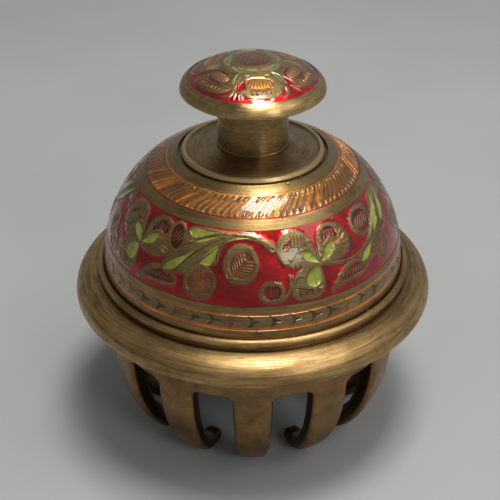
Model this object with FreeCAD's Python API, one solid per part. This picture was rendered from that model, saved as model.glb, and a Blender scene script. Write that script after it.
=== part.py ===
"""Claw bell: a cast brass hand bell that stands on its own inward-curled claws.

Millimetres. +Z is up and the origin is on the ground under the bell's axis.
One claw points along -Y.  An enamelled dome sits in a clawed rim casting, a turned
knob is screwed down on it, and a ball clapper hangs inside from a closed link.
"""
import FreeCAD, Part
import math
import os

V = FreeCAD.Vector
AXIS = V(0, 0, 1)
ORIGIN = V(0, 0, 0)
REACH = 60.0               # half side of a box that takes in the whole bell

# --- clawed rim casting -------------------------------------------------------------
FLANGE_R = 44.9            # widest radius of the bell
FLANGE_Z = 38.8            # height of that widest line
FLANGE_EDGE_R = 44.0       # lower edge of the flange
FLANGE_EDGE_Z = 37.4
FLANGE_NOSE_R = 44.7       # point halfway round the nose between those two
FLANGE_NOSE_Z = 38.0
FLANGE_TOP_R = 39.2        # where the flange's slope starts beside the groove
FLANGE_TOP_Z = 43.6
FLANGE_UNDER_Z = 36.9
FLANGE_CHAMFER = 0.3       # small slope under the flange's lower edge
BEAD_R = 1.1               # half-round bead round the dome's foot
BEAD_CENTRE_R = 37.9
BEAD_CENTRE_Z = 45.3
GROOVE_R = 38.5            # bottom of the groove between bead and flange
SKIRT_TOP_R = 36.9
SKIRT_CHAMFER = 1.0        # slope that fills the corner under the flange
SKIRT_R = 37.9             # outside of the skirt where the gaps begin
SKIRT_IN_R = 33.2
SEAT_R = 37.4              # counterbore that takes the dome's foot
SEAT_Z = 43.2
SEAT_IN_R = 34.3
SEAT_TOP_Z = 46.1          # where the seat's wall runs out into the bead

# --- claws --------------------------------------------------------------------------
CLAW_COUNT = 12
CLAW_TOP_Z = 28.5          # top of the gaps between the claws
CLAW_TURN_R = 21.4         # centre of the two quarter ellipses that shape a claw
CLAW_OUT_B = 28.8
CLAW_IN_B = 25.6
CLAW_TIP_R = 18.9
CLAW_HALF_ROOT = 5.0       # half width where the claw leaves the skirt
CLAW_HALF_TIP = 2.3
CLAW_EDGE_FILLET = 1.3     # all round a claw and its rounded tip
GAP_START_R = 12.5         # the cutters for the gaps widen from here
GAP_END_R = 44.0
GAP_START_CORNER = 0.2
GAP_CORNER_R = 1.8
GAP_LOW_Z = -2.0
SPLIT_Z = 26.0             # the casting is divided here into the rim and its claws

# --- dome ---------------------------------------------------------------------------
DOME_R = 37.4
DOME_BASE_Z = 44.0
DOME_RISE = 34.5
DOME_POWER = 2.3
DOME_FOOT_Z = 46.5
DOME_TOP_R = 18.2          # edge of the seat for the crown disc
CROWN_SEAT_Z = 74.6
DOME_IN_R = 34.2
DOME_IN_RISE = 27.6
DOME_IN_POWER = 2.8
DOME_IN_FLAT_R = 9.0       # flat roof inside, for the washer
STUD_HOLE_R = 3.1

# --- coloured bands let into the dome: low z, high z, depth of the recess --------------
SCROLL_BAND = (54.3, 69.3, 0.45)
HATCH_BAND = (71.0, 74.35, 0.30)
LEAF_BAND = (48.3, 52.6, 0.30)
BAND_CUT_PROUD = 0.3       # the cutters of the recesses start this far outside the dome
FILL_SINK = 0.05           # the fill stops this far below the brass
FILL_GAP = 0.02            # and this far above the bottom of its recess

# --- crown disc and knob --------------------------------------------------------------
DISC_R = 17.3
DISC_RIM_R = 16.9
DISC_RIM_Z = 76.4
DISC_TOP_R = 8.9
DISC_TOP_Z = 77.3
DISC_EDGE_Z = 75.6
DISC_LAND = 0.7            # flat on top of the disc's rim
DISC_STEP_R = 0.3          # small step down inside that flat
DISC_STEP_H = 0.35
NECK_R = 8.4
NECK_TOP_R = 8.6
NECK_FOOT_R = 8.6
NECK_FOOT_H = 0.4
NECK_FOOT_SLOPE = 0.2
CAP_UNDER_Z = 91.0
CAP_HOLLOW_R = 9.7         # the cap's underside is hollowed to here beside the neck
CAP_HOLLOW_Z = 91.6
CAP_EDGE_R = 17.2
CAP_EDGE_Z = 91.4
CAP_EDGE_H = 0.45          # upright part of the cap's edge
CAP_LIP_R = 16.5           # lowest line of the cap
CAP_LIP_Z = 90.9
CAP_BAND_R = 16.45         # point halfway up the plain band round the enamel
CAP_BAND_Z = 93.42
CAP_LINE_R = 15.2          # border between the plain rim band and the enamel
CAP_LINE_Z = 94.4
CAP_RISE = 4.3
CAP_POWER = 2.14
CAP_RECESS = 0.45
KNOB_BORE_R = 3.03
KNOB_BORE_TOP_Z = 87.5
KNOB_BORE_CONE = 1.6       # height of the drill's cone at the end of the bore

# --- hanger -------------------------------------------------------------------------
STUD_R = 3.0
STUD_TOP_Z = 87.0
STUD_LOW_Z = 63.8
EYE_RING_R = 3.6
EYE_WIRE_R = 1.0
EYE_Z = 60.5
WASHER_R = 8.0
WASHER_T = 1.2
NUT_FLATS = 10.0
NUT_H = 5.0
NUT_CHAMFER_R = 5.35

# --- link and clapper -----------------------------------------------------------------
RUN = 0.06                 # clearance between the hanging wires
LINK_WIRE_R = 0.9
LINK_END_R = 2.6
LINK_STRAIGHT = 4.0
LOOP_WIRE_R = 1.0
LOOP_RING_R = 3.0
ROD_R = 1.2
BALL_R = 8.0
BALL_Z = 16.0
BALL_BORE_GAP = 0.03
RIVET_R = 2.0
RIVET_H = 0.8
RIVET_SEAT_GAP = 0.4


def spline(points):
    """Edge of one smooth curve through (r, z) points."""
    curve = Part.BSplineCurve()
    curve.interpolate([V(r, 0, z) for r, z in points])
    return curve.toShape()


def line(a, b):
    return Part.makeLine(V(a[0], 0, a[1]), V(b[0], 0, b[1]))


def polyline(points):
    return [line(a, b) for a, b in zip(points, points[1:])]


def arc(a, mid, b):
    return Part.Arc(V(a[0], 0, a[1]), V(mid[0], 0, mid[1]), V(b[0], 0, b[1])).toShape()


def spin(edges, angle=360.0):
    """Solid of revolution about Z from the closed outline in the XZ plane."""
    face = Part.Face(Part.Wire(Part.__sortEdges__(edges)))
    solid = face.revolve(ORIGIN, AXIS, angle)
    return solid if solid.Volume > 0 else solid.reversed()


def superellipse_r(z, radius, base_z, rise, power):
    """Radius at height z of a dome that is fuller than an ellipse."""
    share = max(0.0, (z - base_z) / rise)
    return radius * max(0.0, 1.0 - share ** power) ** (1.0 / power)


def superellipse_z(r, radius, base_z, rise, power):
    return base_z + rise * (1.0 - (r / radius) ** power) ** (1.0 / power)


DOME_ROOF_Z = superellipse_z(DOME_IN_FLAT_R, DOME_IN_R, DOME_BASE_Z, DOME_IN_RISE, DOME_IN_POWER)


def dome_r(z):
    return superellipse_r(z, DOME_R, DOME_BASE_Z, DOME_RISE, DOME_POWER)


def dome_point(z, depth):
    """Point of the dome's outside at height z, sunk into the wall by depth."""
    step = 0.01
    dr = (dome_r(z + step) - dome_r(z - step)) / (2 * step)
    size = math.hypot(1.0, dr)
    return dome_r(z) - depth / size, z + depth * dr / size


def dome_curve(low_z, high_z, depth, steps=16):
    return [dome_point(low_z + (high_z - low_z) * i / steps, depth) for i in range(steps + 1)]


def dome_band(low_z, high_z, top_depth, floor_depth):
    """Ring that follows the dome between two heights and two depths."""
    outer = dome_curve(low_z, high_z, top_depth)
    inner = dome_curve(low_z, high_z, floor_depth)
    return spin([spline(outer), spline(inner), line(outer[0], inner[0]), line(outer[-1], inner[-1])])


def make_dome():
    top_z = superellipse_z(DOME_TOP_R, DOME_R, DOME_BASE_Z, DOME_RISE, DOME_POWER)
    shoulder = dome_curve(DOME_FOOT_Z, top_z, 0.0, 28)
    steps = 24
    inner = []
    for i in range(steps + 1):
        swing = math.pi / 2 * i / steps
        r = DOME_IN_FLAT_R + (DOME_IN_R - DOME_IN_FLAT_R) * math.cos(swing)
        inner.append((r, superellipse_z(r, DOME_IN_R, DOME_BASE_Z, DOME_IN_RISE, DOME_IN_POWER)))
    foot = shoulder[0]
    outline = [spline(shoulder), spline(inner)]
    outline += polyline([foot, (foot[0], SEAT_Z), (DOME_IN_R, SEAT_Z), inner[0]])
    outline += polyline([shoulder[-1], (DOME_TOP_R, CROWN_SEAT_Z), (STUD_HOLE_R, CROWN_SEAT_Z),
                         (STUD_HOLE_R, DOME_ROOF_Z), inner[-1]])
    dome = spin(outline)
    for low_z, high_z, depth in (SCROLL_BAND, HATCH_BAND, LEAF_BAND):
        dome = dome.cut(dome_band(low_z, high_z, -BAND_CUT_PROUD, depth))
    return dome


def make_fill(band):
    low_z, high_z, depth = band
    return dome_band(low_z + FILL_GAP, high_z - FILL_GAP, FILL_SINK, depth - FILL_GAP)


def quarter_ellipse(out_r, depth):
    """Curve of a claw, from the skirt down to its lowest point."""
    tall = Part.Ellipse(V(CLAW_TURN_R, 0, CLAW_TOP_Z - depth), V(out_r, 0, CLAW_TOP_Z),
                        V(CLAW_TURN_R, 0, CLAW_TOP_Z))
    edge = tall.toShape()
    corner = Part.makeBox(REACH, REACH, REACH, V(CLAW_TURN_R, -REACH / 2, CLAW_TOP_Z - REACH))
    return edge.common(corner).Edges[0]


def block(low_z):
    """Box round the whole bell from a height upward."""
    return Part.makeBox(2 * REACH, 2 * REACH, REACH, V(-REACH, -REACH, low_z))


def make_cage():
    """The whole rim casting: bead, flange, skirt and a bowl cut into claws."""
    low_out, low_in = CLAW_TOP_Z - CLAW_OUT_B, CLAW_TOP_Z - CLAW_IN_B
    nose = (low_in - low_out) / 2
    nose_r = CLAW_TIP_R + nose
    edges = [quarter_ellipse(SKIRT_R, CLAW_OUT_B), quarter_ellipse(SKIRT_IN_R, CLAW_IN_B),
             line((CLAW_TURN_R, low_out), (nose_r, low_out)), line((CLAW_TURN_R, low_in), (nose_r, low_in)),
             arc((nose_r, low_out), (CLAW_TIP_R, low_out + nose), (nose_r, low_in))]
    turns = [math.pi / 2 * i / 10 for i in range(11)]
    flange = [(FLANGE_TOP_R + (FLANGE_R - FLANGE_TOP_R) * math.sin(t),
               FLANGE_Z + (FLANGE_TOP_Z - FLANGE_Z) * math.cos(t)) for t in turns]
    bead_drop = math.sqrt(BEAD_R ** 2 - (GROOVE_R - BEAD_CENTRE_R) ** 2)
    bead_low = (GROOVE_R, BEAD_CENTRE_Z - bead_drop)
    bead_top = (BEAD_CENTRE_R, BEAD_CENTRE_Z + BEAD_R)
    edges.append(spline(flange))
    edges.append(arc(bead_top, (BEAD_CENTRE_R + BEAD_R, BEAD_CENTRE_Z), bead_low))
    edges += polyline([bead_low, (GROOVE_R, FLANGE_TOP_Z), flange[0]])
    edges.append(arc(flange[-1], (FLANGE_NOSE_R, FLANGE_NOSE_Z), (FLANGE_EDGE_R, FLANGE_EDGE_Z)))
    edges += polyline([(FLANGE_EDGE_R, FLANGE_EDGE_Z), (FLANGE_EDGE_R - FLANGE_CHAMFER, FLANGE_UNDER_Z),
                       (SKIRT_TOP_R + SKIRT_CHAMFER, FLANGE_UNDER_Z),
                       (SKIRT_TOP_R, FLANGE_UNDER_Z - SKIRT_CHAMFER), (SKIRT_R, CLAW_TOP_Z)])
    edges += polyline([(SKIRT_IN_R, CLAW_TOP_Z), (SEAT_IN_R, SEAT_Z), (SEAT_R, SEAT_Z), (SEAT_R, SEAT_TOP_Z), bead_top])
    bowl = spin(edges)
    return bowl.cut([make_gap(i) for i in range(CLAW_COUNT)])


def claw_half_width(r):
    share = (r - CLAW_TURN_R) / (SKIRT_R - CLAW_TURN_R)
    return CLAW_HALF_TIP + (CLAW_HALF_ROOT - CLAW_HALF_TIP) * share


def gap_outline(r, corner_r):
    """Outline of a gap at distance r along its own line: flat top with rounded corners."""
    half_pitch = math.pi / CLAW_COUNT
    half = r * math.tan(half_pitch) - claw_half_width(r) / math.cos(half_pitch)
    top = CLAW_TOP_Z
    bevel = corner_r * (1 - math.sqrt(0.5))
    low = GAP_LOW_Z
    points = [V(r, -half, low), V(r, -half, top - corner_r), V(r, -half + bevel, top - bevel),
              V(r, -half + corner_r, top), V(r, half - corner_r, top), V(r, half - bevel, top - bevel),
              V(r, half, top - corner_r), V(r, half, low)]
    edges = [Part.makeLine(points[0], points[1]), Part.Arc(points[1], points[2], points[3]).toShape(),
             Part.makeLine(points[3], points[4]), Part.Arc(points[4], points[5], points[6]).toShape(),
             Part.makeLine(points[6], points[7]), Part.makeLine(points[7], points[0])]
    return Part.Wire(edges)


def make_gap(index):
    """Cutter for the gap after claw number index."""
    inner = gap_outline(GAP_START_R, GAP_START_CORNER)
    outer = gap_outline(GAP_END_R, GAP_CORNER_R)
    cutter = Part.makeLoft([inner, outer], True, True)
    cutter.rotate(ORIGIN, AXIS, -90 + 360.0 / CLAW_COUNT * (index + 0.5))
    return cutter


def axis_distance(edge):
    return math.hypot(edge.CenterOfMass.x, edge.CenterOfMass.y)


def soften_rim(rim):
    """Round the outer edges of the arches between the claws."""
    wall = (SKIRT_R + SKIRT_IN_R) / 2
    edges = [e for e in rim.Edges if SPLIT_Z + 0.02 < e.CenterOfMass.z < CLAW_TOP_Z + 0.05
             and axis_distance(e) > wall + 1]
    return rim.makeFillet(CLAW_EDGE_FILLET, edges)


def soften_claw(claw):
    """Round both sides of the front claw all the way round its tip, then wear its foot flat."""
    sides = [e for e in claw.Edges if e.CenterOfMass.z < SPLIT_Z - 0.1 and abs(e.CenterOfMass.x) > 1]
    return claw.makeFillet(CLAW_EDGE_FILLET, sides).common(block(0))


def split_cage(cage):
    """Divide the casting at SPLIT_Z into the rim and one solid per claw, counted round from -Y."""
    slab = block(SPLIT_Z)
    rim = soften_rim(cage.common(slab))
    front = min(cage.cut(slab).Solids, key=lambda solid: solid.CenterOfMass.y)
    front = soften_claw(front)
    claws = []
    for index in range(CLAW_COUNT):
        claw = front.copy()
        claw.rotate(ORIGIN, AXIS, 360.0 / CLAW_COUNT * index)
        claws.append(claw)
    return rim, claws


def make_disc():
    land_r = DISC_RIM_R - DISC_LAND
    outline = [(STUD_HOLE_R, CROWN_SEAT_Z), (DISC_R, CROWN_SEAT_Z), (DISC_R, DISC_EDGE_Z),
               (DISC_RIM_R, DISC_RIM_Z), (land_r, DISC_RIM_Z),
               (land_r - DISC_STEP_R, DISC_RIM_Z - DISC_STEP_H), (DISC_TOP_R, DISC_TOP_Z),
               (STUD_HOLE_R, DISC_TOP_Z)]
    return spin(polyline(outline + outline[:1]))


def cap_curve(depth, edge_r, steps=16):
    points = []
    for i in range(steps + 1):
        r = edge_r * (1 - i / steps)
        points.append((r, CAP_LINE_Z + CAP_RISE * (1 - (r / CAP_LINE_R) ** CAP_POWER) - depth))
    return points


def make_knob():
    floor = cap_curve(CAP_RECESS, CAP_LINE_R)
    edge = (CAP_EDGE_R, CAP_EDGE_Z)
    shoulder = (CAP_EDGE_R, CAP_EDGE_Z + CAP_EDGE_H)
    line_top = (CAP_LINE_R, CAP_LINE_Z)
    outline = [spline(floor)]
    outline.append(line(floor[0], line_top))
    outline.append(arc(line_top, (CAP_BAND_R, CAP_BAND_Z), shoulder))
    foot_z = DISC_TOP_Z + NECK_FOOT_H
    outline += polyline([shoulder, edge, (CAP_LIP_R, CAP_LIP_Z), (CAP_HOLLOW_R, CAP_HOLLOW_Z),
                         (NECK_TOP_R, CAP_UNDER_Z), (NECK_R, foot_z + NECK_FOOT_SLOPE),
                         (NECK_FOOT_R, foot_z), (NECK_FOOT_R, DISC_TOP_Z),
                         (KNOB_BORE_R, DISC_TOP_Z), (KNOB_BORE_R, KNOB_BORE_TOP_Z),
                         (0, KNOB_BORE_TOP_Z + KNOB_BORE_CONE), floor[-1]])
    return spin(outline)


def make_cap_fill():
    top = cap_curve(FILL_SINK, CAP_LINE_R - FILL_GAP)
    low = cap_curve(CAP_RECESS - FILL_GAP, CAP_LINE_R - FILL_GAP)
    return spin([spline(top), spline(low), line(top[0], low[0]), line(top[-1], low[-1])])


def ring(radius, wire, centre, normal):
    return Part.makeTorus(radius, wire, centre, normal)


def make_hanger():
    shank = Part.makeCylinder(STUD_R, STUD_TOP_Z - STUD_LOW_Z, V(0, 0, STUD_LOW_Z))
    eye = ring(EYE_RING_R, EYE_WIRE_R, V(0, 0, EYE_Z), V(0, 1, 0))
    return shank.fuse(eye).removeSplitter()


def make_washer():
    low = V(0, 0, DOME_ROOF_Z - WASHER_T)
    return Part.makeCylinder(WASHER_R, WASHER_T, low).cut(Part.makeCylinder(STUD_HOLE_R, WASHER_T, low))


def make_nut():
    low_z = DOME_ROOF_Z - WASHER_T - NUT_H
    corner = NUT_FLATS / math.sqrt(3)
    turns = [math.pi / 3 * i for i in range(7)]
    points = [V(corner * math.cos(t), corner * math.sin(t), low_z) for t in turns]
    body = Part.Face(Part.makePolygon(points)).extrude(V(0, 0, NUT_H))
    wide = corner + 0.1
    high_z = low_z + NUT_H
    cone = [(0, low_z), (NUT_CHAMFER_R, low_z), (wide, low_z + wide - NUT_CHAMFER_R),
            (wide, high_z), (0, high_z)]
    body = body.common(spin(polyline(cone + cone[:1])))
    return body.cut(Part.makeCylinder(KNOB_BORE_R, NUT_H, V(0, 0, low_z)))


EYE_LOW_Z = EYE_Z - EYE_RING_R                                  # link's hinge line
LINK_TOP_Z = EYE_LOW_Z + EYE_WIRE_R + LINK_WIRE_R + RUN
LINK_LOW_Z = LINK_TOP_Z - 2 * LINK_END_R - LINK_STRAIGHT        # clapper's hinge line
LOOP_TOP_Z = LINK_LOW_Z + LINK_WIRE_R + LOOP_WIRE_R + RUN
LOOP_Z = LOOP_TOP_Z - LOOP_RING_R


def make_link():
    """Closed oval of wire in the YZ plane."""
    high = LINK_TOP_Z - LINK_END_R
    low = LINK_LOW_Z + LINK_END_R
    e = LINK_END_R
    path = [Part.Arc(V(0, -e, high), V(0, 0, high + e), V(0, e, high)).toShape(),
            Part.makeLine(V(0, e, high), V(0, e, low)),
            Part.Arc(V(0, e, low), V(0, 0, low - e), V(0, -e, low)).toShape(),
            Part.makeLine(V(0, -e, low), V(0, -e, high))]
    section = Part.Wire(Part.makeCircle(LINK_WIRE_R, V(0, -e, high), V(0, 0, 1)))
    return Part.Wire(path).makePipeShell([section], True, False)


def make_rod():
    """Loop, rod and peened end in one piece of wire."""
    loop = ring(LOOP_RING_R, LOOP_WIRE_R, V(0, 0, LOOP_Z), V(0, 1, 0))
    top = LOOP_Z - LOOP_RING_R
    low = BALL_Z - BALL_R
    rod = Part.makeCylinder(ROD_R, top - low, V(0, 0, low))
    head = Part.makeCylinder(RIVET_R, RIVET_H, V(0, 0, low - RIVET_H))
    return loop.fuse([rod, head]).removeSplitter()


def make_ball():
    ball = Part.makeSphere(BALL_R, V(0, 0, BALL_Z))
    bore = Part.makeCylinder(ROD_R + BALL_BORE_GAP, 4 * BALL_R, V(0, 0, BALL_Z - 2 * BALL_R))
    seat = Part.makeCylinder(RIVET_R + RIVET_SEAT_GAP, BALL_R, V(0, 0, BALL_Z - 2 * BALL_R))
    return ball.cut(bore).cut(seat)


def main():
    os.makedirs("parts", exist_ok=True)
    rim, claws = split_cage(make_cage())
    nodes = {
        "rim_flange": rim,
        "bell_dome": make_dome(),
        "scroll_band_enamel": make_fill(SCROLL_BAND),
        "hatch_band_lacquer": make_fill(HATCH_BAND),
        "leaf_band_lacquer": make_fill(LEAF_BAND),
        "crown_disc": make_disc(),
        "handle_knob": make_knob(),
        "cap_enamel": make_cap_fill(),
        "hanger_bolt": make_hanger(),
        "hanger_washer": make_washer(),
        "hanger_nut": make_nut(),
        "clapper_link": make_link(),
        "clapper_rod": make_rod(),
        "clapper_ball": make_ball(),
    }
    for number, claw in enumerate(claws, 1):
        nodes["claw_%02d" % number] = claw
    for name, shape in nodes.items():
        shape.exportStep(os.path.join("parts", name + ".step"))
        print("%-20s valid %s volume %.1f" % (name, shape.isValid(), shape.Volume))


main()
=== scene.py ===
"""Looks of the claw bell: engraved and enamelled relief bands, aged brass, steel and iron.

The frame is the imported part's own: metres, +Z up, the bell's axis is the Z axis, and the side
that faces the camera is -Y.  Four coloured fills of the part are replaced by relief sheets in
which the brass stands proud, the enamel lies sunk and every engraved stroke is cut.  The
drawings are laid out flat, in millimetres, and wrapped onto the outline of the fill.
"""
import math
import random

import bpy
import numpy as np
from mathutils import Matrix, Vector
from mathutils.geometry import delaunay_2d_cdt

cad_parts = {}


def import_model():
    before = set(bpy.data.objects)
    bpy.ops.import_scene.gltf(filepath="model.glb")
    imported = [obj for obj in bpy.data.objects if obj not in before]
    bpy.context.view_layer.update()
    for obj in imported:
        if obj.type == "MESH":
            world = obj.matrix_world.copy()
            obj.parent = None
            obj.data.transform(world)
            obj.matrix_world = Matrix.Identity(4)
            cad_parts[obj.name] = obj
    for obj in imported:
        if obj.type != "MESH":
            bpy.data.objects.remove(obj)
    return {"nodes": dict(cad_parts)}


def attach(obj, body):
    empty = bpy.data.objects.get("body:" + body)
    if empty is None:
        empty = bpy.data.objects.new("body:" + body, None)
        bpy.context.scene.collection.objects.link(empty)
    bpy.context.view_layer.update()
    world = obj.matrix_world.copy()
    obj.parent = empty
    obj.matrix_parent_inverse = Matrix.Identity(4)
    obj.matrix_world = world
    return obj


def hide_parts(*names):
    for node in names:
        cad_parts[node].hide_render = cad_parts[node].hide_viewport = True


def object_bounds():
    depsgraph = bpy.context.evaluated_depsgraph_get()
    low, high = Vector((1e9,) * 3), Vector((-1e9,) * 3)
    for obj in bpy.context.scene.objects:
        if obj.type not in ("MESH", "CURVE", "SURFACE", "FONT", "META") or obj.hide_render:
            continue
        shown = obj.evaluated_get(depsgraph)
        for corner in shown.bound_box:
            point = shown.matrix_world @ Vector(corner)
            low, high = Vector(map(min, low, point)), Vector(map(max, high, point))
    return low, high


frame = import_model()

CAD_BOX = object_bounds()
MM = 0.001
FULL_TURN = 360.0
WELD_GAP = 2e-7            # metres between points that are joined
SHARP_ANGLE = 50           # degrees; edges bent more than this stay sharp

# --- Relief levels, in millimetres from the surface of the brass -------
FILL_SINK = 0.05           # the part's fills lie this far below the brass round them
BACK = -0.24               # back of every relief sheet
GROUND = -0.10             # red enamel ground
POCKET = -0.06             # green and amber enamel let into the brass
CUT = -0.09                # engraved strokes
BRASS = -0.01
SLOPE = 0.11               # width of the sloping edge of raised brass
CUT_SLOPE = 0.06           # width of the sloping edge of a stroke


# --- Flat outlines ----------------------------------------------------
def smooth(points, closed=True, per=7):
    """Centripetal Catmull-Rom curve through a few points, as an array of points."""
    p = np.asarray(points, float)
    count = len(p)
    ring = np.vstack([p[-1:], p, p[:2]]) if closed else np.vstack([2 * p[0] - p[1], p, 2 * p[-1] - p[-2]])
    out = []
    for i in range(count if closed else count - 1):
        a, b, c, d = ring[i:i + 4]
        t0 = 0.0
        t1 = t0 + max(np.linalg.norm(b - a), 1e-6) ** 0.5
        t2 = t1 + max(np.linalg.norm(c - b), 1e-6) ** 0.5
        t3 = t2 + max(np.linalg.norm(d - c), 1e-6) ** 0.5
        for k in range(per):
            t = t1 + (t2 - t1) * k / per
            ab = a + (b - a) * (t - t0) / (t1 - t0)
            bc = b + (c - b) * (t - t1) / (t2 - t1)
            cd = c + (d - c) * (t - t2) / (t3 - t2)
            abc = ab + (bc - ab) * (t - t0) / (t2 - t0)
            bcd = bc + (cd - bc) * (t - t1) / (t3 - t1)
            out.append(abc + (bcd - abc) * (t - t1) / (t2 - t1))
    if not closed:
        out.append(p[-1])
    return np.array(out)


def oval(centre, rx, ry, turn=0.0, count=30):
    """Ellipse; turn is in degrees."""
    t = np.linspace(0, 2 * math.pi, count, endpoint=False)
    c, s = math.cos(math.radians(turn)), math.sin(math.radians(turn))
    x, y = rx * np.cos(t), ry * np.sin(t)
    return np.stack([centre[0] + x * c - y * s, centre[1] + x * s + y * c], 1)


def sides(line):
    """Unit vectors to the left of an open line at each of its points."""
    d = np.gradient(line, axis=0)
    d /= np.maximum(np.linalg.norm(d, axis=1, keepdims=True), 1e-9)
    return np.stack([-d[:, 1], d[:, 0]], 1)


def ribbon(points, widths, per=5):
    """Band along a smooth line; widths are spread evenly from its start to its end."""
    line = smooth(points, closed=False, per=per) if len(points) > 2 else np.asarray(points, float)
    if len(points) == 2:
        line = line[0] + (line[1] - line[0]) * np.linspace(0, 1, 4)[:, None]
    share = np.linspace(0, 1, len(line))
    half = np.interp(share, np.linspace(0, 1, len(widths)), widths) / 2
    n = sides(line)
    left, right = line + n * half[:, None], line - n * half[:, None]
    start = line[0] + (line[0] - line[1]) / max(np.linalg.norm(line[0] - line[1]), 1e-9) * half[0]
    end = line[-1] + (line[-1] - line[-2]) / max(np.linalg.norm(line[-1] - line[-2]), 1e-9) * half[-1]
    return np.vstack([start, right, end, left[::-1]])


def leaf(tip, heel, width, belly=0.65, bend=0.0, count=14):
    """Leaf from a sharp tip to a rounded heel; bend pushes its middle to the left, in mm."""
    tip, heel = np.asarray(tip, float), np.asarray(heel, float)
    along = heel - tip
    left = np.array([-along[1], along[0]]) / np.linalg.norm(along)
    t = np.linspace(0, 1, count)
    power = math.log(0.5) / math.log(belly)
    half = width / 2 * np.sin(math.pi * t ** power) ** 0.85
    mid = tip + along * t[:, None] + left * (bend * np.sin(math.pi * t))[:, None]
    upper, lower = mid + left * half[:, None], mid - left * half[:, None]
    return np.vstack([upper[:-1], lower[:0:-1]])


def inset(outline, distance):
    """The outline moved inwards; negative moves it outwards."""
    ahead, behind = np.roll(outline, -1, 0), np.roll(outline, 1, 0)
    d = ahead - behind
    d /= np.maximum(np.linalg.norm(d, axis=1, keepdims=True), 1e-9)
    area = np.sum(outline[:, 0] * ahead[:, 1] - ahead[:, 0] * outline[:, 1])
    n = np.stack([-d[:, 1], d[:, 0]], 1) * (1 if area > 0 else -1)
    return outline + n * distance


def depth_inside(points, outline):
    """Distance from each point to the outline, zero outside it."""
    a, b = outline, np.roll(outline, -1, 0)
    depth = np.zeros(len(points))
    lo, hi = outline.min(0), outline.max(0)
    near = np.nonzero(np.all((points >= lo) & (points <= hi), 1))[0]
    if not len(near):
        return depth
    p = points[near][:, None, :]
    ab = (b - a)[None]
    t = np.clip(np.sum((p - a) * ab, 2) / np.maximum(np.sum(ab * ab, 2), 1e-12), 0, 1)
    gap = np.linalg.norm(p - (a + ab * t[..., None]), axis=2).min(1)
    crosses = (a[:, 1] > p[..., 1]) != (b[:, 1] > p[..., 1])
    rise = np.where(np.abs(ab[..., 1]) < 1e-12, 1e-12, ab[..., 1])
    x_at = a[:, 0] + (p[..., 1] - a[:, 1]) * ab[..., 0] / rise
    inside = np.sum(crosses & (p[..., 0] < x_at), 1) % 2 == 1
    depth[near] = np.where(inside, gap, 0)
    return depth


class Drawing:
    """Shapes in drawing order, each with its own level, sloping edge, paint and edge paint."""

    def __init__(self):
        self.shapes = []

    def add(self, outline, level, paint, slope=SLOPE, rim=None):
        self.shapes.append((np.asarray(outline, float), level, slope, paint, rim or paint))

    def plate(self, outline):
        self.add(outline, BRASS, "brass", rim="umber")

    def pocket(self, outline, paint):
        self.add(outline, POCKET, paint, slope=CUT_SLOPE)

    def cut(self, outline, paint="groove"):
        self.add(outline, CUT, paint, slope=CUT_SLOPE)

    def bar(self, points, widths):
        """Thin brass bar left standing in a pocket."""
        self.add(ribbon(points, widths, per=3), BRASS, "brass", slope=CUT_SLOPE)

    def stamp(self, other, shift=0.0, stretch=1.0, wobble=0.0, seed=0):
        """Copy another drawing's shapes along x, each a little out of place if wobble is given."""
        rng = random.Random(seed)
        for outline, level, slope, paint, rim in other.shapes:
            move = np.array([rng.uniform(-wobble, wobble), rng.uniform(-wobble, wobble)])
            placed = outline * [stretch, 1] + [shift, 0] + move
            self.shapes.append((placed, level, slope, paint, rim))


# --- Relief sheets ----------------------------------------------------
class Profile:
    """Smooth outer line of a turned fill: radius and height by distance along it, in mm."""

    def __init__(self, node):
        mesh = frame["nodes"][node].data
        co = np.empty(len(mesh.vertices) * 3)
        mesh.vertices.foreach_get("co", co)
        co = co.reshape(-1, 3) / MM
        rz = np.unique(np.round(np.stack([np.hypot(co[:, 0], co[:, 1]), co[:, 2]], 1), 2), axis=0)
        chain = self.outer_chain(rz)
        step = np.hypot(np.diff(chain[:, 0]), np.diff(chain[:, 1]))
        self.s = np.concatenate([[0], np.cumsum(step)])
        self.rz = chain
        self.slope = np.gradient(chain, self.s, axis=0)
        self.length = self.s[-1]

    @staticmethod
    def outer_chain(rz):
        """Convex outside from the widest point up to the highest one."""
        start = rz[np.lexsort((-rz[:, 1], -rz[:, 0]))[0]]
        end = rz[np.lexsort((-rz[:, 0], -rz[:, 1]))[0]]
        between = rz[(rz[:, 0] >= end[0]) & (rz[:, 1] >= start[1])]
        between = between[np.lexsort((-between[:, 0], between[:, 1]))]
        chain = []
        for p in between:
            while len(chain) > 1:
                a, b = chain[-2], chain[-1]
                if (b[0] - a[0]) * (p[1] - a[1]) - (b[1] - a[1]) * (p[0] - a[0]) > 0:
                    break
                chain.pop()
            chain.append(p)
        kept = [chain[0]]
        for p in chain[1:-1]:
            if np.hypot(*(p - kept[-1])) > 0.3 and np.hypot(*(p - chain[-1])) > 0.3:
                kept.append(p)
        return np.array(kept + [chain[-1]])

    def at(self, s):
        """Points and outward normals, as arrays of (r, z)."""
        s = np.clip(s, 0, self.length)
        i = np.clip(np.searchsorted(self.s, s, side="right") - 1, 0, len(self.s) - 2)
        h = self.s[i + 1] - self.s[i]
        t = ((s - self.s[i]) / h)[:, None]
        h = h[:, None]
        p0, p1, m0, m1 = self.rz[i], self.rz[i + 1], self.slope[i], self.slope[i + 1]
        point = ((2 * t ** 3 - 3 * t ** 2 + 1) * p0 + (t ** 3 - 2 * t ** 2 + t) * h * m0
                 + (3 * t ** 2 - 2 * t ** 3) * p1 + (t ** 3 - t ** 2) * h * m1)
        along = ((6 * t ** 2 - 6 * t) * (p0 - p1) / h + (3 * t ** 2 - 4 * t + 1) * m0
                 + (3 * t ** 2 - 2 * t) * m1)
        along /= np.linalg.norm(along, axis=1, keepdims=True)
        return point, np.stack([along[:, 1], -along[:, 0]], 1)


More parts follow.
